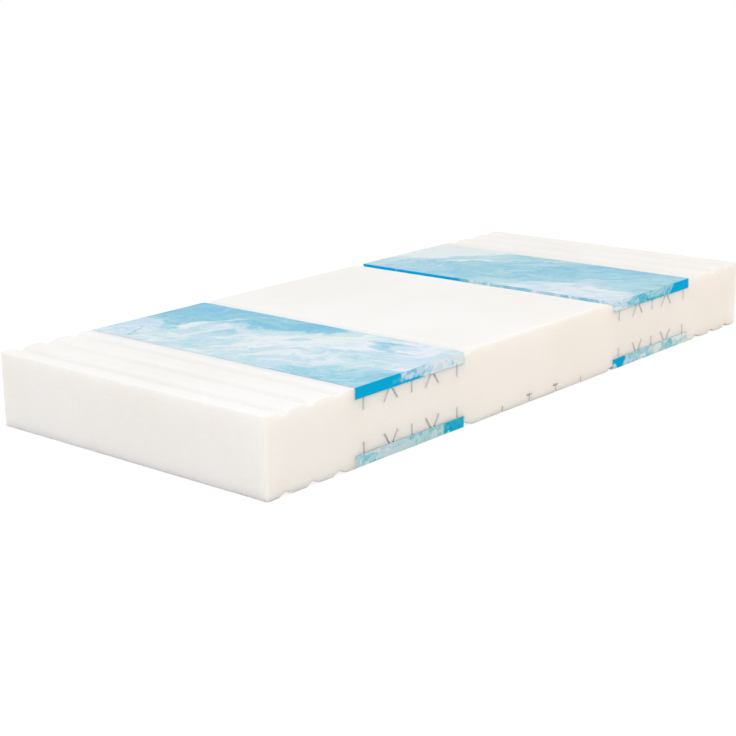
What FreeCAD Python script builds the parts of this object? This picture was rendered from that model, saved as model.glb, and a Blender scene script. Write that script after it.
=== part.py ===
import FreeCAD, Part
import math
import os

# Pressure relief mattress core: one cold-foam block with waves cut across its end zones, and four
# gel-foam pads bonded into recesses, one in each face at each end.
# X runs along the length with the head end at +X, Y across the width, Z up.
# The origin is under the middle of the block, on the surface that it lies on. Sizes in millimetres.

# foam block
core_length = 2000.0
core_width = 880.0
core_height = 185.0

# gel-foam pads, flush with the face and with both long sides
pad_length = 390.0
pad_thickness = 28.0
pad_centre_x = 523.0
pad_end_gap = 0.5

# adhesive between a pad and the floor of its recess, kept back from slits and cut edges
film_thickness = 0.4
film_slit_setback = 1.0
film_side_setback = 5.0

# waves across the end zones, counted outwards from the pad
valley_count = 3
valley_pitch = 85.3
first_valley_from_pad = 55.0
valley_half_width = 23.0
valley_depth = 8.5

# hollow in the middle zone beside each pad, half of a wide valley
hollow_width = 35.0
hollow_depth = 10.0

# share of each S-curve's two radii that belongs to the convex shoulder
shoulder_share = 0.37

# slits under each pad: three upright ones and two slanted pairs that spread away from the pad
slit_width = 6.0
slit_depth = 28.0
upright_slit_spacing = 168.0
slanted_pair_offset = 74.5
slanted_root_offset = 6.0
slanted_tip_offset = 24.5

# slits in the underside of the middle zone
plain_slit_x = 173.0
plain_slit_depth = 17.0
tee_slit_x = 58.0
tee_slit_depth = 21.0
tee_bar_length = 25.0
tee_bar_thickness = 4.0

# how far a cutter reaches past the face that it opens
overcut = 5.0

recess_depth = pad_thickness + film_thickness
pad_inner_x = pad_centre_x - pad_length / 2
pad_outer_x = pad_centre_x + pad_length / 2

ends = {"foot": -1, "head": 1}
faces = {"bottom": 1, "top": -1}  # the way into the foam along Z


def point(x, z):
    return FreeCAD.Vector(x, -core_width / 2, z)


def face_height(inward):
    """Height of the face from which inward, +1 or -1 along Z, leads into the foam."""
    return 0.0 if inward > 0 else core_height


def closed_face(edges):
    return Part.Face(Part.Wire(edges))


def polygon_face(corners):
    return Part.Face(Part.makePolygon(corners + corners[:1]))


def across(face, setback=0.0):
    """Solid of an outline over the width of the block, kept back from both long sides."""
    start = face.translated(FreeCAD.Vector(0, setback, 0))
    return start.extrude(FreeCAD.Vector(0, core_width - 2 * setback, 0))


def s_curve(flat_x, flat_z, floor_x, inward, depth):
    """Two tangent arcs from the flat face at flat_x down to a level floor at floor_x."""
    run = abs(floor_x - flat_x)
    way = math.copysign(1.0, floor_x - flat_x)
    turn = 2 * math.atan(depth / run)
    radii = run / math.sin(turn)
    shoulder = shoulder_share * radii
    floor = radii - shoulder

    def on_shoulder(angle):
        return point(
            flat_x + way * shoulder * math.sin(angle),
            flat_z + inward * shoulder * (1 - math.cos(angle)),
        )

    def on_floor(angle):
        return point(
            floor_x - way * floor * math.sin(angle),
            flat_z + inward * (depth - floor * (1 - math.cos(angle))),
        )

    first = Part.Arc(on_shoulder(0), on_shoulder(turn / 2), on_shoulder(turn))
    second = Part.Arc(on_shoulder(turn), on_floor(turn / 2), on_floor(0))
    return [first.toShape(), second.toShape()]


def valley_face(centre_x, inward):
    z = face_height(inward)
    left = centre_x - valley_half_width
    right = centre_x + valley_half_width
    down = s_curve(left, z, centre_x, inward, valley_depth)
    up = s_curve(right, z, centre_x, inward, valley_depth)
    lid = Part.makeLine(point(left, z), point(right, z))
    return closed_face(Part.__sortEdges__(down + up + [lid]))


def hollow_face(end, inward):
    z = face_height(inward)
    pad_x = end * pad_inner_x
    flat_x = end * (pad_inner_x - hollow_width)
    curve = s_curve(flat_x, z, pad_x, inward, hollow_depth)
    wall = Part.makeLine(point(pad_x, z + inward * hollow_depth), point(pad_x, z))
    lid = Part.makeLine(point(pad_x, z), point(flat_x, z))
    return closed_face(Part.__sortEdges__(curve + [wall, lid]))


def recess_face(end, inward):
    z = face_height(inward)
    inner = end * pad_inner_x
    outer = end * pad_outer_x
    return polygon_face(
        [
            point(inner, z - inward * overcut),
            point(outer, z - inward * overcut),
            point(outer, z + inward * recess_depth),
            point(inner, z + inward * recess_depth),
        ]
    )


def slit_face(root_x, root_z, tip_x, tip_z):
    """Slit of even width from its open root to a half-round tip, run on past the root."""
    root = point(root_x, root_z)
    tip = point(tip_x, tip_z)
    along = tip.sub(root).normalize()
    side = along.cross(FreeCAD.Vector(0, 1, 0)).multiply(slit_width / 2)
    back = FreeCAD.Vector(along).multiply(-overcut)
    round_start = tip.sub(FreeCAD.Vector(along).multiply(slit_width / 2))
    corners = [
        round_start.add(side),
        root.add(back).add(side),
        root.add(back).sub(side),
        round_start.sub(side),
    ]
    edges = [Part.makeLine(a, b) for a, b in zip(corners, corners[1:])]
    edges.append(Part.Arc(corners[-1], tip, corners[0]).toShape())
    return closed_face(edges)


def pad_slits(end, inward):
    centre = end * pad_centre_x
    root_z = face_height(inward) + inward * recess_depth
    tip_z = root_z + inward * slit_depth
    slits = []
    for place in (-1, 0, 1):
        x = centre + place * upright_slit_spacing
        slits.append(slit_face(x, root_z, x, tip_z))
    for pair in (-1, 1):
        for lean in (-1, 1):
            pair_x = centre + pair * slanted_pair_offset
            root_x = pair_x + lean * slanted_root_offset
            tip_x = pair_x + lean * slanted_tip_offset
            slits.append(slit_face(root_x, root_z, tip_x, tip_z))
    return slits


def tee_bar_face(centre_x):
    """Level bar at the head of a T-slit, with half-round ends."""
    low = tee_slit_depth - tee_bar_thickness
    high = tee_slit_depth
    middle = (low + high) / 2
    straight = (tee_bar_length - tee_bar_thickness) / 2
    edges = [
        Part.makeLine(point(centre_x - straight, low), point(centre_x + straight, low)),
        Part.Arc(
            point(centre_x + straight, low),
            point(centre_x + straight + tee_bar_thickness / 2, middle),
            point(centre_x + straight, high),
        ).toShape(),
        Part.makeLine(point(centre_x + straight, high), point(centre_x - straight, high)),
        Part.Arc(
            point(centre_x - straight, high),
            point(centre_x - straight - tee_bar_thickness / 2, middle),
            point(centre_x - straight, low),
        ).toShape(),
    ]
    return closed_face(edges)


def middle_zone_slits():
    slits = []
    for side in (-1, 1):
        x = side * plain_slit_x
        slits.append(slit_face(x, 0.0, x, plain_slit_depth))
        x = side * tee_slit_x
        slits.append(slit_face(x, 0.0, x, tee_slit_depth))
        slits.append(tee_bar_face(x))
    return slits


def foam_core():
    half = core_length / 2
    block = polygon_face(
        [point(-half, 0), point(half, 0), point(half, core_height), point(-half, core_height)]
    )
    cuts = middle_zone_slits()
    for end in ends.values():
        for inward in faces.values():
            cuts.append(recess_face(end, inward))
            cuts.append(hollow_face(end, inward))
            cuts.extend(pad_slits(end, inward))
            for number in range(valley_count):
                x = pad_outer_x + first_valley_from_pad + number * valley_pitch
                cuts.append(valley_face(end * x, inward))
    outline = block.cut(cuts)
    return across(outline.Faces[0])


def gel_pad(end, inward):
    z = face_height(inward)
    inner = end * (pad_inner_x + pad_end_gap)
    outer = end * (pad_outer_x - pad_end_gap)
    return across(
        polygon_face(
            [
                point(inner, z),
                point(outer, z),
                point(outer, z + inward * pad_thickness),
                point(inner, z + inward * pad_thickness),
            ]
        )
    )


def land_edges():
    """Start and end of each strip of recess floor between slits, from the pad's middle outwards."""
    lean = math.atan((slanted_tip_offset - slanted_root_offset) / slit_depth)
    upright_half = slit_width / 2 + film_slit_setback
    slanted_half = slit_width / 2 / math.cos(lean) + film_slit_setback
    near_root = slanted_pair_offset - slanted_root_offset
    far_root = slanted_pair_offset + slanted_root_offset
    return [
        (upright_half, near_root - slanted_half),
        (near_root + slanted_half, far_root - slanted_half),
        (far_root + slanted_half, upright_slit_spacing - upright_half),
        (upright_slit_spacing + upright_half, pad_length / 2 - film_slit_setback),
    ]


def bond_film(end, inward):
    """Adhesive strips on the recess floor, one on each stretch of foam between two slits."""
    centre = end * pad_centre_x
    pad_side = face_height(inward) + inward * pad_thickness
    foam_side = pad_side + inward * film_thickness
    strips = []
    for side in (-1, 1):
        for start, stop in land_edges():
            a = centre + side * start
            b = centre + side * stop
            outline = polygon_face(
                [point(a, pad_side), point(b, pad_side), point(b, foam_side), point(a, foam_side)]
            )
            strips.append(across(outline, film_side_setback))
    return Part.makeCompound(strips)


def save(name, shape):
    shape.exportStep(os.path.join("parts", name + ".step"))
    print(name, "solids", len(shape.Solids), "valid", shape.isValid(), "litres", round(shape.Volume / 1e6, 3))


os.makedirs("parts", exist_ok=True)
save("foam_core", foam_core())
for end_name, end in ends.items():
    for face_name, inward in faces.items():
        save(f"{end_name}_{face_name}_gel_pad", gel_pad(end, inward))
        save(f"{end_name}_{face_name}_bond_film", bond_film(end, inward))
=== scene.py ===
import math
import bpy
import numpy as np
from mathutils import Matrix, Vector, noise
from mathutils.geometry import delaunay_2d_cdt


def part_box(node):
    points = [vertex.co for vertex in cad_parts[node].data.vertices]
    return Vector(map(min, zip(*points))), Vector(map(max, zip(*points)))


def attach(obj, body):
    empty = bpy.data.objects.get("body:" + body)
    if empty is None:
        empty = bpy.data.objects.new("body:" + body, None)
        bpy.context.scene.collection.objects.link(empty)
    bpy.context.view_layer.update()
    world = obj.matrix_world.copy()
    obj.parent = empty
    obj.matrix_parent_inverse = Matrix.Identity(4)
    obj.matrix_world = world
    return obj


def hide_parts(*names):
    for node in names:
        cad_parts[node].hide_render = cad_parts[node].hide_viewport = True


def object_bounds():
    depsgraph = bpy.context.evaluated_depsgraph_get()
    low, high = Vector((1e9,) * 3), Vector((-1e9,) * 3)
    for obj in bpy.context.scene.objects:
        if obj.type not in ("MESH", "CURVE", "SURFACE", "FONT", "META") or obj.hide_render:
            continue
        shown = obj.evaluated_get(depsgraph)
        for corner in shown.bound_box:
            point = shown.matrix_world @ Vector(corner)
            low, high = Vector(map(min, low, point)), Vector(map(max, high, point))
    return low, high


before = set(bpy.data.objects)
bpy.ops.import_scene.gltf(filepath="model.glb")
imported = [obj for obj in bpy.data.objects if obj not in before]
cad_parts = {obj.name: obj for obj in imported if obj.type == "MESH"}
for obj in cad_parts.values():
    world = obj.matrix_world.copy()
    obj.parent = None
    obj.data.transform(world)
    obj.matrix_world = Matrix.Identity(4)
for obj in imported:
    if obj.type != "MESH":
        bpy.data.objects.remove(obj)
cadLow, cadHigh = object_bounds()
print("frame loaded, core box", [round(v, 3) for v in cadHigh - cadLow])

view = {
    "azimuth": -49.12,  # degrees round the core, 0 looks along +Y
    "elevation": 15.09,
    "roll": -0.89,
    "distance": 4.29,  # metres
    "target": (-0.087, 0.0682, 0.0104),
    "lens": 77.97,  # millimetres
    "farEnd": 200.0,  # metres, past the floor's edge
}


def placeCamera(v):
    azimuth, elevation, roll = (math.radians(v[k]) for k in ("azimuth", "elevation", "roll"))
    back = Vector((
        math.sin(azimuth) * math.cos(elevation),
        -math.cos(azimuth) * math.cos(elevation),
        math.sin(elevation),
    ))
    level = Vector((0, 0, 1)).cross(back).normalized()
    upright = back.cross(level)
    right = level * math.cos(roll) + upright * math.sin(roll)
    up = upright * math.cos(roll) - level * math.sin(roll)
    camera = bpy.data.objects.new("viewCamera", bpy.data.cameras.new("viewCamera"))
    camera.data.lens = v["lens"]
    camera.data.clip_end = v["farEnd"]
    place = Matrix((right, up, back)).transposed().to_4x4()
    place.translation = Vector(v["target"]) + back * v["distance"]
    camera.matrix_world = place
    bpy.context.scene.collection.objects.link(camera)
    bpy.context.scene.camera = camera


placeCamera(view)
print("camera placed")


def give(tree, socket, value):
    # value is another socket to link from, or a constant, and None leaves the socket alone
    if value is None:
        return
    if isinstance(value, bpy.types.NodeSocket):
        tree.links.new(value, socket)
    else:
        socket.default_value = value


def put(tree, kind, *links, **settings):
    # a new node, with its inputs filled in order
    node = tree.nodes.new("ShaderNode" + kind)
    for name, value in settings.items():
        setattr(node, name, value)
    for socket, value in zip(node.inputs, links):
        give(tree, socket, value)
    return node


def maths(tree, operation, *links, clamp=False):
    return put(tree, "Math", *links, operation=operation, use_clamp=clamp).outputs[0]


def vectors(tree, operation, *links):
    node = put(tree, "VectorMath", *links, operation=operation)
    return node.outputs["Value" if operation == "LENGTH" else "Vector"]


def eased(tree, value, low, high, atLow=0.0, atHigh=1.0):
    # a smooth step from one value to another
    node = put(tree, "MapRange", value, low, high, atLow, atHigh, interpolation_type="SMOOTHSTEP")
    return node.outputs[0]


def mixColours(tree, amount, first, second, blend="MIX"):
    # a Mix node's colours are its inputs 6 and 7 and its output 2
    node = tree.nodes.new("ShaderNodeMix")
    node.data_type = "RGBA"
    node.blend_type = blend
    give(tree, node.inputs["Factor"], amount)
    give(tree, node.inputs[6], first)
    give(tree, node.inputs[7], second)
    return node.outputs[2]


def cloudy(tree, place, scale, detail=2.0, roughness=0.5, distortion=0.0, seed=None):
    # a noise, and with a seed another noise for each value of it
    node = put(tree, "TexNoise", place, seed, noise_dimensions="3D" if seed is None else "4D")
    give(tree, node.inputs["Scale"], scale)
    give(tree, node.inputs["Detail"], detail)
    give(tree, node.inputs["Roughness"], roughness)
    give(tree, node.inputs["Distortion"], distortion)
    return node.outputs


def newGroup(name, inputs, outputs):
    # inputs is {label: default value}, outputs is {label: socket kind}
    group = bpy.data.node_groups.new(name, "ShaderNodeTree")
    for label, value in inputs.items():
        kind = "NodeSocketVector" if isinstance(value, tuple) else "NodeSocketFloat"
        group.interface.new_socket(name=label, in_out="INPUT", socket_type=kind).default_value = value
    for label, kind in outputs.items():
        group.interface.new_socket(name=label, in_out="OUTPUT", socket_type=kind)
    return group, group.nodes.new("NodeGroupInput").outputs, group.nodes.new("NodeGroupOutput").inputs


def placeGroup(tree, group, values):
    node = tree.nodes.new("ShaderNodeGroup")
    node.node_tree = group
    for label, value in values.items():
        give(tree, node.inputs[label], value)
    return node.outputs


def srgb(red, green, blue):
    # a colour given 0 to 255, as the linear value that a shader takes
    shares = [c / 255 for c in (red, green, blue)]
    return tuple(c / 12.92 if c <= 0.04045 else ((c + 0.055) / 1.055) ** 2.4 for c in shares) + (1.0,)


facingShare = 0.7  # a face looks along an axis when its normal has more than this along it

openCells = {
    "cellRim": (0.1, 0.65),  # a pit rises to its rim between these distances from its middle
    "cellDepth": 0.6,  # beside a pore's
    "poreRim": (0.1, 0.34),
    "poreShare": 0.2,  # how many of the places for a pore have one
}


def makeFoamCells(v):
    # open cells of cut foam: small pits, with a wider pore here and there
    inputs = {
        "Coordinates": (0.0, 0.0, 0.0),
        "Cells per Metre": 620.0,
        "Pores per Metre": 170.0,
        "Pore Share": v["poreShare"],
    }
    outputs = {"Pits": "NodeSocketFloat", "Height": "NodeSocketFloat"}
    group, into, out = newGroup("foamCells", inputs, outputs)
    cells = put(group, "TexVoronoi", into["Coordinates"], voronoi_dimensions="3D", feature="F1")
    give(group, cells.inputs["Scale"], into["Cells per Metre"])
    cellPit = eased(group, cells.outputs["Distance"], *v["cellRim"], 1.0, 0.0)
    pores = put(group, "TexVoronoi", into["Coordinates"], voronoi_dimensions="3D", feature="F1")
    give(group, pores.inputs["Scale"], into["Pores per Metre"])
    draw = put(group, "SeparateColor", pores.outputs["Color"]).outputs[0]
    chosen = maths(group, "LESS_THAN", draw, into["Pore Share"])
    deepPit = eased(group, pores.outputs["Distance"], *v["poreRim"], 1.0, 0.0)
    pore = maths(group, "MULTIPLY", chosen, deepPit)
    pits = maths(group, "MAXIMUM", maths(group, "MULTIPLY", cellPit, v["cellDepth"]), pore)
    give(group, out["Pits"], pits)
    give(group, out["Height"], maths(group, "SUBTRACT", 1.0, pits))
    return group


wireRipple = {
    "perMetre": 140.0,
    "alongShare": 0.012,  # how fast a ripple changes along the wire, beside across it
}


def makeWireMarks(v):
    # faint ripples left by the cutting wire: across the width on the cut profile, and lengthwise on the
    # long sides
    group, into, out = newGroup(
        "wireMarks",
        {"Coordinates": (0.0, 0.0, 0.0), "Normal": (0.0, 0.0, 1.0), "Marks per Metre": v["perMetre"]},
        {"Ripple": "NodeSocketFloat"},
    )
    facing = put(group, "SeparateXYZ", into["Normal"]).outputs
    onLongSide = maths(group, "GREATER_THAN", maths(group, "ABSOLUTE", facing[1]), facingShare)
    ripples = []
    for stretch in ((1.0, v["alongShare"], 1.0), (v["alongShare"], 1.0, 1.0)):
        drawn = vectors(group, "MULTIPLY", into["Coordinates"], stretch)
        ripples.append(cloudy(group, drawn, into["Marks per Metre"], detail=3.0)[0])
    give(group, out["Ripple"], put(group, "Mix", onLongSide, None, *ripples).outputs[0])
    return group


gelTones = {  # share of the milky batch: colour
    0.0: srgb(2, 171, 222),
    0.16: srgb(46, 180, 214),
    0.36: srgb(110, 194, 216),
    0.58: srgb(160, 210, 225),
    0.8: srgb(194, 220, 232),
    1.0: srgb(229, 236, 240),
}

marble = {
    "zones": 12,
    "foldPerMetre": 3.4,  # how often the pour folds, curls and frays over a metre
    "curlPerMetre": 9.5,
    "frayPerMetre": 34.0,
    "upwards": 0.3,  # how much of a fold, curl or fray goes up and down
    "zoneEdge": (0.78, 1.1),  # a zone fades out between these shares of its reach
    "bandsPerMetre": 6.5,
    "drawnScale": (8.0, 38.0, 34.0),  # per metre: along the draw, across it and upwards
    "streakEdge": (0.38, 0.62),  # a streak goes from blue to milky between these values of its noise
    "meetingTone": 0.45,  # where the two batches are in balance
    "meetingEdge": (0.15, 0.42),  # the layers fade out between these steps of tone from there
    "layerCount": 30.0,  # waves from one batch to the other
    "layerWander": 26.0,
    "wandersPerMetre": 24.0,
    "threadScale": 0.55,  # beside the streaks
    "threadWidth": 0.025,
    "threadedPerMetre": 9.0,  # places that have threads
    "threadedEdge": (0.5, 0.62),
    "driftsPerMetre": 7.0,  # the colour drifts from teal to azure
    "driftEdge": (0.4, 0.6),
    "tealTint": (0.965, 1.005, 0.975, 1.0),
    "azureTint": (0.99, 0.995, 1.03, 1.0),
}


def makeMarbling(m):
    # Two batches of gel foam poured together: a tone of 0 is the blue one and 1 the milky one. A zone
    # is a place where one batch gathered: an amount above 0 makes it milkier, one below 0 bluer.
    # Its turn is about the vertical.
    inputs = {
        "Coordinates": (0.0, 0.0, 0.0),
        "Pour": 0.0,
        "Tone": 0.6,
        "Draw Turn": 0.0,
        "Fold": 0.2,
        "Curl": 0.12,
        "Fray": 0.04,
        "Bands": 0.45,
        "Streaks": 0.22,
        "Layers": 0.1,
        "Threads": 0.2,
    }
    for number in range(1, m["zones"] + 1):
        inputs[f"Zone {number} Place"] = (0.0, 0.0, 0.0)
        inputs[f"Zone {number} Reach"] = (1.0, 1.0, 1.0)
        inputs[f"Zone {number} Turn"] = 0.0
        inputs[f"Zone {number} Amount"] = 0.0
    group, into, out = newGroup("marbling", inputs, {"Color": "NodeSocketColor"})

    def seeded(offset):
        # another pour, or another offset, draws another noise
        return maths(group, "ADD", into["Pour"], offset)

    def swept(place, scale, reach, offset, detail=1.0):
        # place carried about by a noise, up to half of reach each way and less up and down
        swirl = cloudy(group, place, scale, detail=detail, seed=seeded(offset))["Color"]
        both = vectors(group, "SUBTRACT", swirl, (0.5, 0.5, 0.5))
        level = vectors(group, "MULTIPLY", both, (1.0, 1.0, m["upwards"]))
        shift = put(group, "VectorMath", level, operation="SCALE")
        give(group, shift.inputs["Scale"], reach)
        return vectors(group, "ADD", place, shift.outputs["Vector"])

    def turnedBack(place, angle):
        node = put(group, "VectorRotate", place, rotation_type="Z_AXIS", invert=True)
        give(group, node.inputs["Angle"], angle)
        return node.outputs[0]

    folded = swept(into["Coordinates"], m["foldPerMetre"], into["Fold"], 0.0)
    curled = swept(folded, m["curlPerMetre"], into["Curl"], 3.1)
    frayed = swept(curled, m["frayPerMetre"], into["Fray"], 7.7, detail=3.0)
    tone = into["Tone"]
    for number in range(1, m["zones"] + 1):
        offset = vectors(group, "SUBTRACT", frayed, into[f"Zone {number} Place"])
        turned = turnedBack(offset, into[f"Zone {number} Turn"])
        away = vectors(group, "LENGTH", vectors(group, "DIVIDE", turned, into[f"Zone {number} Reach"]))
        near = eased(group, away, *m["zoneEdge"], 1.0, 0.0)
        tone = maths(group, "MULTIPLY_ADD", near, into[f"Zone {number} Amount"], tone)

    # wide bands, then streaks that the pour drew out one way
    cloud = cloudy(group, curled, m["bandsPerMetre"], 2.5, 0.5, 0.6, seed=seeded(1.7))[0]
    tone = maths(group, "MULTIPLY_ADD", maths(group, "SUBTRACT", cloud, 0.5), into["Bands"], tone)
    drawn = vectors(group, "MULTIPLY", turnedBack(frayed, into["Draw Turn"]), m["drawnScale"])
    fibres = cloudy(group, drawn, 1.0, 4.0, 0.55, 0.8, seed=seeded(4.3))[0]
    streaks = eased(group, fibres, *m["streakEdge"], -0.5, 0.5)
    tone = maths(group, "MULTIPLY_ADD", streaks, into["Streaks"], tone)

    # where the batches met, thin layers lie side by side
    offMiddle = maths(group, "ABSOLUTE", maths(group, "SUBTRACT", tone, m["meetingTone"]))
    met = eased(group, offMiddle, *m["meetingEdge"], 1.0, 0.0)
    wander = cloudy(group, curled, m["wandersPerMetre"], 2.0, 0.5, 0.4, seed=seeded(9.4))[0]
    wander = maths(group, "MULTIPLY", wander, m["layerWander"])
    layer = maths(group, "SINE", maths(group, "MULTIPLY_ADD", tone, m["layerCount"], wander))
    layers = maths(group, "MULTIPLY", maths(group, "MULTIPLY", layer, met), into["Layers"])
    tone = maths(group, "ADD", tone, layers)

    # blue threads in some places, along the line where a noise crosses its middle value
    crossing = cloudy(group, drawn, m["threadScale"], 2.0, 0.5, 1.4, seed=seeded(5.9))[0]
    offLine = maths(group, "ABSOLUTE", maths(group, "SUBTRACT", crossing, 0.5))
    thread = eased(group, offLine, 0.0, m["threadWidth"], 1.0, 0.0)
    threaded = cloudy(group, curled, m["threadedPerMetre"], 1.0, seed=seeded(8.2))[0]
    chosen = eased(group, threaded, *m["threadedEdge"])
    threads = maths(group, "MULTIPLY", maths(group, "MULTIPLY", thread, chosen), into["Threads"])

    ramp = put(group, "ValToRGB", maths(group, "SUBTRACT", tone, threads, clamp=True))
    while len(ramp.color_ramp.elements) < len(gelTones):
        ramp.color_ramp.elements.new(0.5)
    for element, (place, colour) in zip(ramp.color_ramp.elements, gelTones.items()):
        element.position = place
        element.color = colour
    drift = cloudy(group, curled, m["driftsPerMetre"], 2.0, seed=seeded(6.6))[0]
    tint = mixColours(group, eased(group, drift, *m["driftEdge"]), m["tealTint"], m["azureTint"])
    give(group, out["Color"], mixColours(group, 1.0, ramp.outputs["Color"], tint, "MULTIPLY"))
    return group


foamCells = makeFoamCells(openCells)
wireMarks = makeWireMarks(wireRipple)
marbling = makeMarbling(marble)
print("shared effects built")


def newMaterial(name):
    material = bpy.data.materials.new(name)
    material.use_nodes = True
    return material, material.node_tree, material.node_tree.nodes["Principled BSDF"]


def objectPlace(tree):
    return put(tree, "TexCoord").outputs["Object"]


def foamSurface(tree, shader, place, colour, v):
    # cut foam over that colour: cells that dent it, with painted shade at the bottom of each pit, and the
    # marks of the wire
    cells = placeGroup(tree, foamCells, {
        "Coordinates": place,
        "Cells per Metre": v["cellsPerMetre"],
        "Pores per Metre": v["poresPerMetre"],
    })
    # painted shade: the colour darkens towards the bottom of each pit
    light = maths(tree, "SUBTRACT", 1.0, maths(tree, "MULTIPLY", cells["Pits"], v["paintedPitShade"]))
    shade = put(tree, "CombineColor", light, light, light).outputs[0]
    give(tree, shader.inputs["Base Color"], mixColours(tree, 1.0, colour, shade, "MULTIPLY"))
    normal = put(tree, "NewGeometry").outputs["Normal"]
    marks = placeGroup(tree, wireMarks, {"Coordinates": place, "Normal": normal})
    ripple = put(tree, "Bump", v["rippleStrength"], v["rippleDepth"])
    give(tree, ripple.inputs["Height"], marks["Ripple"])
    pits = put(tree, "Bump", v["pitStrength"], v["pitDepth"])
    give(tree, pits.inputs["Height"], cells["Height"])
    give(tree, pits.inputs["Normal"], ripple.outputs[0])
    give(tree, shader.inputs["Normal"], pits.outputs[0])
    shader.inputs["Roughness"].default_value = v["roughness"]
    shader.inputs["Specular IOR Level"].default_value = v["specular"]
    shader.inputs["Sheen Weight"].default_value = v["sheen"]
    shader.inputs["Sheen Roughness"].default_value = v["sheenRoughness"]
    shader.inputs["Subsurface Weight"].default_value = v["glow"]
    shader.inputs["Subsurface Radius"].default_value = v["glowTint"]
    shader.inputs["Subsurface Scale"].default_value = v["glowReach"]


coldFoam = {
    "colour": srgb(245, 242, 239),
    "denseColour": srgb(242, 238, 233),  # patches where the foam rose a little denser
    "patchesPerMetre": 3.0,
    "patchEdge": (0.35, 0.7),
    "cellsPerMetre": 620.0,
    "poresPerMetre": 170.0,
    "paintedPitShade": 0.07,  # painted shade: how much darker the bottom of a cell is
    "pitDepth": 0.0006,  # metres
    "pitStrength": 0.6,
    "rippleDepth": 0.0002,
    "rippleStrength": 0.5,
    "roughness": 0.95,
    "specular": 0.1,
    "sheen": 0.0,
    "sheenRoughness": 0.5,
    "glow": 0.8,  # how much light passes through the cells near a surface
    "glowTint": (1.0, 0.92, 0.84),
    "glowReach": 0.035,  # metres
}


def makeColdFoam(v):
    material, tree, shader = newMaterial("coldFoam")
    place = objectPlace(tree)
    patches = cloudy(tree, place, v["patchesPerMetre"], detail=4.0)[0]
    dense = eased(tree, patches, *v["patchEdge"])
    foamSurface(tree, shader, place, mixColours(tree, dense, v["colour"], v["denseColour"]), v)
    return material


gelLyingFaces = {  # both lying faces of a pad
    "tint": (1.0, 1.0, 1.0, 1.0),
    "paintedReflectionColour": srgb(244, 247, 249),
    "paintedReflection": 0.17,  # painted reflection: the lying faces mixed toward a pale colour, for the bright light they reflect at a grazing view
    "drawTurn": -49.0,  # degrees, the way the pour was drawn out
    "fray": 0.06,  # metres that the edge between the two batches strays
    "streaks": 0.3,
    "layers": 0.09,
    "threads": 0.2,
    "cellsPerMetre": 900.0,
    "poresPerMetre": 210.0,
    "paintedPitShade": 0.08,
    "pitDepth": 0.0004,
    "pitStrength": 0.6,
    "rippleDepth": 0.0002,
    "rippleStrength": 0.5,
    "roughness": 0.6,
    "specular": 0.15,
    "sheen": 0.8,
    "sheenRoughness": 0.2,
    "glow": 0.0,
    "glowTint": (1.0, 1.0, 1.0),
    "glowReach": 0.01,
}

gelCut = gelLyingFaces | {  # its cut sides, without the painted reflection, where the colours show at their full strength
    "paintedReflection": 0.0,
    "drawTurn": -8.0,
    "fray": 0.1,
    "streaks": 0.5,
    "layers": 0.08,
    "threads": 0.3,
    "paintedPitShade": 0.12,
    "roughness": 0.9,
    "specular": 0.03,
    "sheen": 0.0,
}


def makeGelFoam(name, pour, zones, v):
    material, tree, shader = newMaterial(name)
    place = objectPlace(tree)
    values = {
        "Coordinates": place,
        "Pour": pour["pour"],
        "Tone": pour["tone"],
        "Draw Turn": math.radians(v["drawTurn"]),
        "Fray": v["fray"],
        "Streaks": v["streaks"],
        "Layers": v["layers"],
        "Threads": v["threads"],
    }
    for number, zone in enumerate(zones, 1):
        values[f"Zone {number} Place"] = zone["at"]
        values[f"Zone {number} Reach"] = zone["reach"]
        values[f"Zone {number} Turn"] = math.radians(zone.get("turn", 0.0))
        values[f"Zone {number} Amount"] = zone["amount"]
    colour = placeGroup(tree, marbling, values)["Color"]
    colour = mixColours(tree, 1.0, colour, v["tint"], "MULTIPLY")
    # the colour mixed toward the pale one is painted reflection on the lying faces
    foamSurface(tree, shader, place, mixColours(tree, v["paintedReflection"], colour, v["paintedReflectionColour"]), v)
    return material


glue = {
    "thick": srgb(226, 219, 190),
    "thin": srgb(240, 237, 224),
    "dropsPerMetre": 260.0,  # it was sprayed on
    "dropEdge": (0.42, 0.58),
    "roughness": (0.3, 0.6),
}


def makeAdhesive(v):
    material, tree, shader = newMaterial("adhesive")
    spray = cloudy(tree, objectPlace(tree), v["dropsPerMetre"], detail=3.0)[0]
    drops = put(tree, "MapRange", spray, *v["dropEdge"]).outputs[0]
    give(tree, shader.inputs["Base Color"], mixColours(tree, drops, v["thick"], v["thin"]))
    roughness = put(tree, "MapRange", drops, 0.0, 1.0, *v["roughness"]).outputs[0]
    give(tree, shader.inputs["Roughness"], roughness)
    return material


# An outline is a closed list of (x, z) points in metres, anticlockwise seen from -Y.
coreCut = {
    "padGap": 0.0005,  # between a pad's end and the wall of its recess
    "firstValley": 0.055,  # from the pad to the middle of the first valley
    "valleyPitch": 0.0853,
    "valleys": 3,
    "valleyHalfWidth": 0.023,
    "valleyDepth": 0.0085,
    "hollowWidth": 0.035,  # beside each pad in the middle zone
    "hollowDepth": 0.010,
    "shoulderShare": 0.37,
    "slitWidth": 0.006,
    "slitDepth": 0.028,
    "uprightSpacing": 0.168,
    "slantedPairOffset": 0.0745,
    "slantedRoot": 0.006,
    "slantedTip": 0.0245,
    "plainSlitPlace": 0.173,  # in the underside of the middle zone
    "plainSlitDepth": 0.017,
    "teeSlitPlace": 0.058,
    "teeSlitDepth": 0.021,
    "teeBarLength": 0.025,
    "teeBarThickness": 0.004,
}

arcSteps = {"sCurve": 12, "slitTip": 6, "teeBarEnd": 4}


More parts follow.
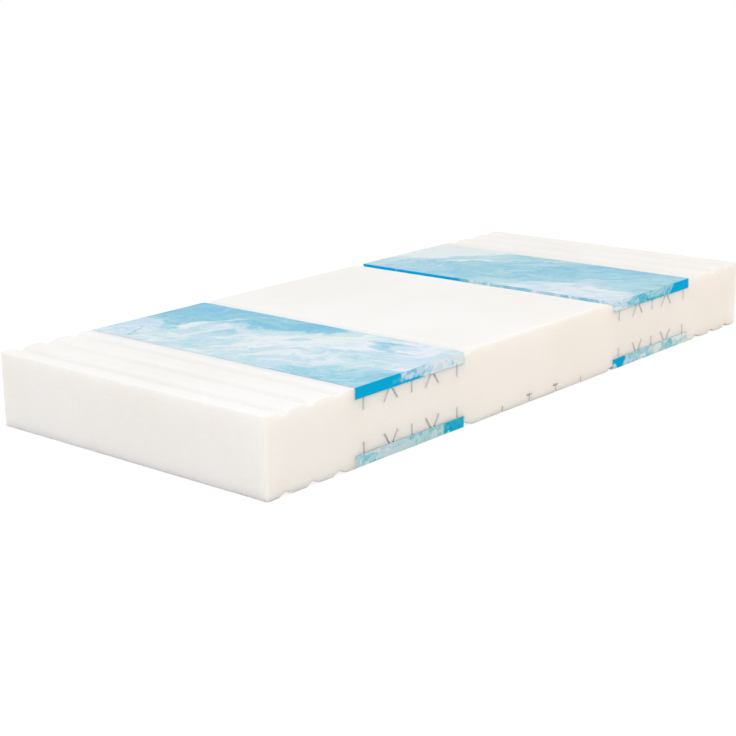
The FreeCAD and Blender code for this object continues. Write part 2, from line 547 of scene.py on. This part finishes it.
def sCurve(x0, x1, depth0, depth1, share):
    # two tangent arcs, level at both ends, where share is the first arc's part of the run
    run, drop = x1 - x0, depth1 - depth0
    turn = 2 * math.atan(abs(drop / run))
    points = []
    for step in range(arcSteps["sCurve"] + 1):
        t = step / arcSteps["sCurve"]
        if t <= share:
            angle = turn * t / share
            x = x0 + run * share * math.sin(angle) / math.sin(turn)
            depth = depth0 + drop * share * (1 - math.cos(angle)) / (1 - math.cos(turn))
        else:
            angle = turn * (1 - t) / (1 - share)
            x = x1 - run * (1 - share) * math.sin(angle) / math.sin(turn)
            depth = depth1 - drop * (1 - share) * (1 - math.cos(angle)) / (1 - math.cos(turn))
        points.append((x, depth))
    return points


def slit(rootX, rootDepth, tipX, tipDepth, width):
    # down one wall, round the half-round tip and up the other
    along = Vector((tipX - rootX, tipDepth - rootDepth)).normalized()
    mouth = width / 2 / along.y
    side = Vector((-along.y, along.x)) * width / 2
    centre = Vector((tipX, tipDepth)) - along * width / 2
    points = [(rootX - mouth, rootDepth)]
    for step in range(arcSteps["slitTip"] + 1):
        angle = math.pi * step / arcSteps["slitTip"]
        points.append(tuple(centre + side * math.cos(angle) + along * math.sin(angle) * width / 2))
    points.append((rootX + mouth, rootDepth))
    return points


def teeSlit(x, depth, width, bar, thickness):
    # a straight slit with a level bar across its head, whose ends are half round
    half = width / 2
    endRadius = thickness / 2
    reach = bar / 2 - endRadius
    low = depth - thickness
    points = [(x - half, 0.0), (x - half, low)]
    steps = arcSteps["teeBarEnd"]
    for side in (-1, 1):
        for step in range(steps + 1):
            angle = math.pi * (step if side < 0 else steps - step) / steps
            across = reach + endRadius * math.sin(angle)
            points.append((x + side * across, low + endRadius * (1 - math.cos(angle))))
    return points + [(x + half, low), (x + half, 0.0)]


def faceFromMiddle(padInner, padOuter, padDepth, halfLength, underside):
    # one face of the core from its middle to its end, as (x, depth into the foam)
    c = coreCut
    points = []
    if underside:
        bar = c["teeBarLength"], c["teeBarThickness"]
        points += teeSlit(c["teeSlitPlace"], c["teeSlitDepth"], c["slitWidth"], *bar)
        points += slit(c["plainSlitPlace"], 0.0, c["plainSlitPlace"], c["plainSlitDepth"], c["slitWidth"])
    points += sCurve(padInner - c["hollowWidth"], padInner, 0.0, c["hollowDepth"], c["shoulderShare"])
    points.append((padInner, padDepth))
    cuts = [(place * c["uprightSpacing"], 0.0) for place in (-1, 0, 1)]
    for pair in (-1, 1):
        for lean in (-1, 1):
            root = pair * c["slantedPairOffset"] + lean * c["slantedRoot"]
            cuts.append((root, lean * (c["slantedTip"] - c["slantedRoot"])))
    for root, reach in sorted(cuts):
        x = (padInner + padOuter) / 2 + root
        points += slit(x, padDepth, x + reach, padDepth + c["slitDepth"], c["slitWidth"])
    points += [(padOuter, padDepth), (padOuter, 0.0)]
    width, depth, share = c["valleyHalfWidth"], c["valleyDepth"], c["shoulderShare"]
    for number in range(c["valleys"]):
        x = padOuter + c["firstValley"] + number * c["valleyPitch"]
        points += sCurve(x - width, x, 0.0, depth, share)
        points += sCurve(x, x + width, depth, 0.0, 1 - share)[1:]
    points.append((halfLength, 0.0))
    return points


def coreOutline():
    low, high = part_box("foam_core")
    padLow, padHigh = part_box("head_top_gel_pad")
    recessDepth = high.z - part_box("head_top_bond_film")[0].z
    inner, outer = padLow.x - coreCut["padGap"], padHigh.x + coreCut["padGap"]
    under = faceFromMiddle(inner, outer, recessDepth, high.x, True)
    over = faceFromMiddle(inner, outer, recessDepth, high.x, False)
    bottom = [(-x, d) for x, d in reversed(under)] + under
    top = [(-x, d) for x, d in reversed(over)] + over
    return [(x, low.z + d) for x, d in bottom] + [(x, high.z - d) for x, d in reversed(top)]


cornerTurn = math.radians(35)
cornerShare = 0.45
sharpTurn = math.radians(50)  # shading breaks at a sharper edge


def turnAt(a, p, b):
    first, second = (p - a), (b - p)
    if first.length < 1e-9 or second.length < 1e-9:
        return 0.0
    return abs(first.angle_signed(second, 0.0))


def softened(outline, cut):
    # each corner sharper than cornerTurn becomes a small round one, within cornerShare of both edges
    points = [Vector(p) for p in outline]
    points = [p for p, q in zip(points, points[1:] + points[:1]) if (p - q).length > 1e-6]
    result = []
    for i, p in enumerate(points):
        a, b = points[i - 1], points[(i + 1) % len(points)]
        if turnAt(a, p, b) < cornerTurn:
            result.append(p)
            continue
        start = p + (a - p).normalized() * min(cut, (a - p).length * cornerShare)
        stop = p + (b - p).normalized() * min(cut, (b - p).length * cornerShare)
        result += [start, (start + 2 * p + stop) / 4, stop]
    return result


def divided(points, longest):
    result = []
    for p, q in zip(points, points[1:] + points[:1]):
        pieces = max(1, math.ceil((q - p).length / longest))
        result += [p.lerp(q, k / pieces) for k in range(pieces)]
    return result


def outwardOf(points):
    # the way out of the foam at each point, long enough to carry both edges there outwards by 1, and
    # at most 2 long
    p = np.array(points)
    normals = []
    for edge in (p - np.roll(p, 1, 0), np.roll(p, -1, 0) - p):
        edge = edge / np.maximum(np.linalg.norm(edge, axis=1, keepdims=True), 1e-12)
        normals.append(np.stack([edge[:, 1], -edge[:, 0]], 1))
    both = normals[0] + normals[1]
    unit = both / np.maximum(np.linalg.norm(both, axis=1, keepdims=True), 1e-9)
    reach = np.clip((unit * normals[0]).sum(1), 0.5, 1.0)
    return unit / reach[:, None]


def insideOf(outline, spots, margin):
    # those spots that lie inside the outline and at least margin from it
    a = np.array(outline)
    b = np.roll(a, -1, 0)
    edge = b - a
    kept = []
    for x, z in spots:
        crosses = (a[:, 1] > z) != (b[:, 1] > z)
        at = a[:, 0] + (z - a[:, 1]) / np.where(crosses, edge[:, 1], 1.0) * edge[:, 0]
        if (crosses & (at > x)).sum() % 2 == 0:
            continue
        t = np.clip(((x - a[:, 0]) * edge[:, 0] + (z - a[:, 1]) * edge[:, 1]) / (edge ** 2).sum(1), 0, 1)
        gap = np.hypot(a[:, 0] + t * edge[:, 0] - x, a[:, 1] + t * edge[:, 1] - z)
        if gap.min() > margin:
            kept.append((x, z))
    return kept


wireSway = {"seed": 7, "long": 0.0005, "longPerMetre": 8.0, "short": 0.0002, "shortPerMetre": 38.0}
noise.seed_set(wireSway["seed"])  # without a seed, each start of Blender draws another sway


def swayed(p):
    # a point moved as the cutting wire wanders: one field for all pieces, so that neighbours stay clear
    long = noise.noise_vector(p * wireSway["longPerMetre"]) * wireSway["long"]
    return p + long + noise.noise_vector(p * wireSway["shortPerMetre"]) * wireSway["short"]


def easedRows(yLow, yHigh, v):
    # (y, how far the outline is drawn in) from one long side to the other, with eased edges
    easing = []
    for degrees in (90, 60, 30, 0):
        angle = math.radians(degrees)
        easing.append((v["easing"] * (1 - math.sin(angle)), v["easing"] * (1 - math.cos(angle))))
    steps = max(2, round((yHigh - yLow) / v["rowStep"]))
    rows = [(yLow + dy, inset) for dy, inset in easing]
    rows += [(yLow + (yHigh - yLow) * k / steps, 0.0) for k in range(1, steps)]
    return rows + [(yHigh - dy, inset) for dy, inset in reversed(easing)]


def capSpots(rim, step):
    # a net of even triangles inside a long side, so that it can wander like the rest
    low, high = np.array(rim).min(0), np.array(rim).max(0)
    rowGap, margin = step * 0.87, step * 0.45
    spots = []
    for rank, z in enumerate(np.arange(low[1] + step * 0.6, high[1], rowGap)):
        start = low[0] + step * (0.5 if rank % 2 == 0 else 1.0)
        spots += [(x, z) for x in np.arange(start, high[0], step)]
    return insideOf(rim, spots, margin)


def cutFoam(name, outline, yLow, yHigh, v):
    # a closed block with that outline from yLow to yHigh, with eased edges and a wire cut's unevenness
    ring = divided(softened(outline, v["cornerCut"]), v["edgeStep"])
    points, outward, count = np.array([tuple(p) for p in ring]), outwardOf(ring), len(ring)
    rows = easedRows(yLow, yHigh, v)
    vertices = []
    for y, inset in rows:
        vertices += [(x, y, z) for x, z in points - outward * inset]
    faces = []
    for row in range(len(rows) - 1):
        a, b = row * count, (row + 1) * count
        for k in range(count):
            n = (k + 1) % count
            faces.append((a + k, b + k, b + n, a + n))
    for row, wayOut in ((0, -1), (len(rows) - 1, 1)):
        rim = [(vertices[row * count + k][0], vertices[row * count + k][2]) for k in range(count)]
        flat = [Vector(p) for p in rim + capSpots(rim, v["capStep"])]
        made, _, triangles, origins, _, _ = delaunay_2d_cdt(flat, [], [list(range(count))], 1, 1e-7)
        index = {}
        for new, source in enumerate(origins):
            if source and source[0] < count:
                index[new] = row * count + source[0]
            elif source:
                index[new] = len(vertices)
                vertices.append((made[new].x, rows[row][0], made[new].y))
        for triangle in triangles:
            corners = [index[i] for i in triangle]
            faces.append(tuple(corners if wayOut < 0 else reversed(corners)))
    mesh = bpy.data.meshes.new(name)
    mesh.from_pydata([swayed(Vector(p)) for p in vertices], [], faces)
    mesh.validate()
    mesh.shade_smooth()
    mesh.set_sharp_from_angle(angle=sharpTurn)
    piece = bpy.data.objects.new(name, mesh)
    bpy.context.scene.collection.objects.link(piece)
    piece.modifiers.new("evenShading", "WEIGHTED_NORMAL").keep_sharp = True
    print(name, "has", len(vertices), "vertices and", len(faces), "faces")
    return piece


def fit(piece, node):
    # the piece stands for that CAD node
    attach(piece, "root")
    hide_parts(node)


coreBlock = {
    "cornerCut": 0.0016,
    "easing": 0.0007,
    "edgeStep": 0.009,
    "rowStep": 0.015,
    "capStep": 0.009,
}


def makeCore(v):
    low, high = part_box("foam_core")
    core = cutFoam("foamCore", coreOutline(), low.y, high.y, v)
    core.data.materials.append(makeColdFoam(coldFoam))
    fit(core, "foam_core")


makeCore(coreBlock)

gelPad = {"cornerCut": 0.001, "edgeStep": 0.007, "rowStep": 0.008, "capStep": 0.006, "easing": 0.001}

# Zones on the lying faces and on the cut sides. A place and its reach are in metres, a turn in
# degrees, and an amount above 0 is milkier. The tone is the pad's own share of the milky batch.
gelPours = {
    "foot_top": {"tone": 0.8, "pour": 1.3, "sideTint": (0.965, 1.005, 1.045, 1.0), "face": [
        {"at": (-0.345, 0.25, 0.17), "reach": (0.16, 0.37, 0.2), "turn": 20, "amount": -0.6},
        {"at": (-0.555, 0.365, 0.17), "reach": (0.04, 0.05, 0.1), "amount": -0.4},
        {"at": (-0.545, 0.16, 0.17), "reach": (0.03, 0.05, 0.1), "amount": -0.25},
        {"at": (-0.43, -0.15, 0.18), "reach": (0.09, 0.26, 0.1), "turn": 30, "amount": 0.2},
        {"at": (-0.345, -0.02, 0.18), "reach": (0.035, 0.09, 0.1), "amount": -0.4},
        {"at": (-0.373, -0.281, 0.18), "reach": (0.046, 0.056, 0.05), "amount": -0.5},
        {"at": (-0.362, -0.292, 0.18), "reach": (0.031, 0.038, 0.05), "amount": 0.5},
        {"at": (-0.69, -0.40, 0.18), "reach": (0.13, 0.22, 0.1), "amount": -0.35},
        {"at": (-0.447, -0.078, 0.18), "reach": (0.02, 0.03, 0.05), "amount": -0.35},
        {"at": (-0.66, 0.365, 0.18), "reach": (0.006, 0.034, 0.05), "turn": -32, "amount": -0.5},
        {"at": (-0.49, 0.27, 0.17), "reach": (0.014, 0.12, 0.1), "turn": 38, "amount": 0.35},
        {"at": (-0.378, -0.112, 0.18), "reach": (0.024, 0.03, 0.05), "amount": -0.3},
    ], "side": [
        {"at": (-0.73, -0.45, 0.17), "reach": (0.15, 0.3, 0.2), "amount": -1.1},
        {"at": (-0.54, -0.45, 0.153), "reach": (0.07, 0.2, 0.016), "amount": -0.6},
        {"at": (-0.51, -0.45, 0.17), "reach": (0.08, 0.2, 0.1), "amount": -0.2},
        {"at": (-0.38, -0.45, 0.17), "reach": (0.09, 0.2, 0.1), "amount": 0.32},
        {"at": (-0.35, -0.45, 0.166), "reach": (0.012, 0.2, 0.009), "amount": -0.4},
    ]},
    "head_top": {"tone": 0.52, "pour": 4.6, "sideTint": (0.965, 1.005, 1.045, 1.0), "face": [
        {"at": (0.56, -0.06, 0.17), "reach": (0.13, 0.42, 0.2), "turn": 28, "amount": -0.14},
        {"at": (0.76, 0.46, 0.17), "reach": (0.29, 0.55, 0.2), "turn": 41, "amount": 0.62},
        {"at": (0.54, 0.2, 0.17), "reach": (0.012, 0.11, 0.1), "turn": 39, "amount": 0.4},
        {"at": (0.375, -0.28, 0.18), "reach": (0.11, 0.24, 0.1), "amount": 0.32},
        {"at": (0.59, -0.1, 0.18), "reach": (0.05, 0.07, 0.1), "amount": -0.08},
        {"at": (0.705, -0.3, 0.18), "reach": (0.05, 0.12, 0.1), "amount": -0.12},
    ], "side": [
        {"at": (0.32, 0.43, 0.17), "reach": (0.05, 0.42, 0.1), "amount": -1.0},
        {"at": (0.33, -0.22, 0.17), "reach": (0.05, 0.33, 0.2), "amount": 0.22},
        {"at": (0.73, -0.45, 0.17), "reach": (0.12, 0.2, 0.2), "amount": -0.6},
        {"at": (0.60, -0.45, 0.17), "reach": (0.07, 0.2, 0.2), "amount": -0.15},
        {"at": (0.33, -0.45, 0.17), "reach": (0.11, 0.1, 0.2), "amount": 0.15},
        {"at": (0.49, -0.45, 0.172), "reach": (0.012, 0.1, 0.01), "amount": -0.4},
        {"at": (0.578, -0.45, 0.174), "reach": (0.014, 0.1, 0.011), "amount": -0.5},
    ]},
    # the lower pads' side tint, warmer and less blue, is painted warm light bounced up from the floor
    "foot_bottom": {"tone": 0.57, "pour": 8.2, "sideTint": (1.0, 0.99, 0.94, 1.0), "face": [
        {"at": (-0.62, 0.1, 0.0), "reach": (0.12, 0.3, 0.1), "turn": 20, "amount": -0.4},
    ], "side": [
        {"at": (-0.335, -0.42, 0.012), "reach": (0.07, 0.2, 0.1), "amount": -0.75},
        {"at": (-0.7, -0.42, 0.012), "reach": (0.09, 0.2, 0.1), "amount": 0.1},
    ]},
    # its side tint too is painted warm light bounced up from the floor
    "head_bottom": {"tone": 0.78, "pour": 11.9, "sideTint": (0.985, 0.99, 0.98, 1.0), "face": [
        {"at": (0.55, 0.2, 0.0), "reach": (0.12, 0.3, 0.1), "turn": -20, "amount": -0.4},
    ], "side": [
        {"at": (0.325, -0.42, 0.012), "reach": (0.03, 0.2, 0.1), "amount": -0.9},
    ]},
}


def makePad(place, pour, v):
    low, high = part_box(place + "_gel_pad")
    outline = [(low.x, low.z), (high.x, low.z), (high.x, high.z), (low.x, high.z)]
    end, side = place.split("_")
    name = end + side.capitalize() + "GelPad"
    pad = cutFoam(name, outline, low.y, high.y, v)
    cut = gelCut | {"tint": pour["sideTint"]}
    pad.data.materials.append(makeGelFoam(name + "Skin", pour, pour["face"], gelLyingFaces))
    pad.data.materials.append(makeGelFoam(name + "Cut", pour, pour["side"], cut))
    for face in pad.data.polygons:
        face.material_index = 0 if abs(face.normal.z) > facingShare else 1
    fit(pad, place + "_gel_pad")


for place, pour in gelPours.items():
    makePad(place, pour, gelPad)

adhesive = makeAdhesive(glue)
for name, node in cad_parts.items():
    if name.endswith("_bond_film"):
        node.material_slots[0].material = adhesive
print("films finished")

studio = {
    "floorSize": 40.0,
    "floorColour": srgb(238, 233, 226),
    "floorRoughness": 0.9,
    "floorDrop": 0.0005,  # just clear of the underside
    "shadowShare": 0.3,  # how much of the floor's own shading the camera sees
    "floorGlow": 1.16,  # strength at which the open floor comes out white beside that share
    "sky": 0.86,  # ambient light
    "lamps": {
        "keySoftbox": {"at": (-1.2, -1.0, 3.8), "size": 3.2, "power": 31.0, "colour": (0.88, 0.95, 1.0)},
        "sideSoftbox": {"at": (1.2, -3.2, 1.2), "size": 2.4, "power": 12.5, "colour": (1.0, 0.7, 0.42)},
        "endSoftbox": {"at": (-4.2, 0.3, 1.2), "size": 2.2, "power": 11.8, "colour": (0.72, 0.82, 1.0)},
    },
}


def seenDirectly(tree):
    # 1 for rays from the camera, and for those that metal or glass sends on
    rays = put(tree, "LightPath").outputs
    straight = maths(tree, "MAXIMUM", rays["Is Camera Ray"], rays["Is Glossy Ray"])
    return maths(tree, "MAXIMUM", straight, rays["Is Transmission Ray"])


def makeWorld(v):
    world = bpy.data.worlds.new("studioWorld")
    world.use_nodes = True
    tree = world.node_tree
    background = tree.nodes["Background"]
    background.inputs["Color"].default_value = (1, 1, 1, 1)
    strength = put(tree, "MapRange", seenDirectly(tree), 0.0, 1.0, v["sky"], 1.0)
    give(tree, background.inputs["Strength"], strength.outputs[0])
    bpy.context.scene.world = world


def makeFloor(v):
    half = v["floorSize"] / 2
    corners = [(-half, -half, 0), (half, -half, 0), (half, half, 0), (-half, half, 0)]
    mesh = bpy.data.meshes.new("studioFloor")
    mesh.from_pydata(corners, [], [(0, 1, 2, 3)])
    floor = bpy.data.objects.new("studioFloor", mesh)
    floor.location.z = -v["floorDrop"]
    bpy.context.scene.collection.objects.link(floor)
    material, tree, shader = newMaterial("studioFloor")
    shader.inputs["Base Color"].default_value = v["floorColour"]
    shader.inputs["Roughness"].default_value = v["floorRoughness"]
    shader.inputs["Specular IOR Level"].default_value = 0.0
    glow = put(tree, "Emission", (1, 1, 1, 1), v["floorGlow"])
    share = maths(tree, "MULTIPLY", seenDirectly(tree), 1 - v["shadowShare"])
    mixed = put(tree, "MixShader", share, shader.outputs[0], glow.outputs[0])
    give(tree, tree.nodes["Material Output"].inputs["Surface"], mixed.outputs[0])
    mesh.materials.append(material)


def makeLamp(name, v):
    light = bpy.data.lights.new(name, "AREA")
    light.shape = "DISK"
    light.size = v["size"]
    light.energy = v["power"]
    light.color = v["colour"]
    lamp = bpy.data.objects.new(name, light)
    middle = Vector((0, 0, cadHigh.z / 2))
    lamp.location = v["at"]
    lamp.rotation_euler = (Vector(v["at"]) - middle).to_track_quat("Z", "Y").to_euler()
    bpy.context.scene.collection.objects.link(lamp)


makeWorld(studio)
makeFloor(studio)
for name, lamp in studio["lamps"].items():
    makeLamp(name, lamp)
bpy.context.scene.view_settings.view_transform = "Standard"
print("studio built")
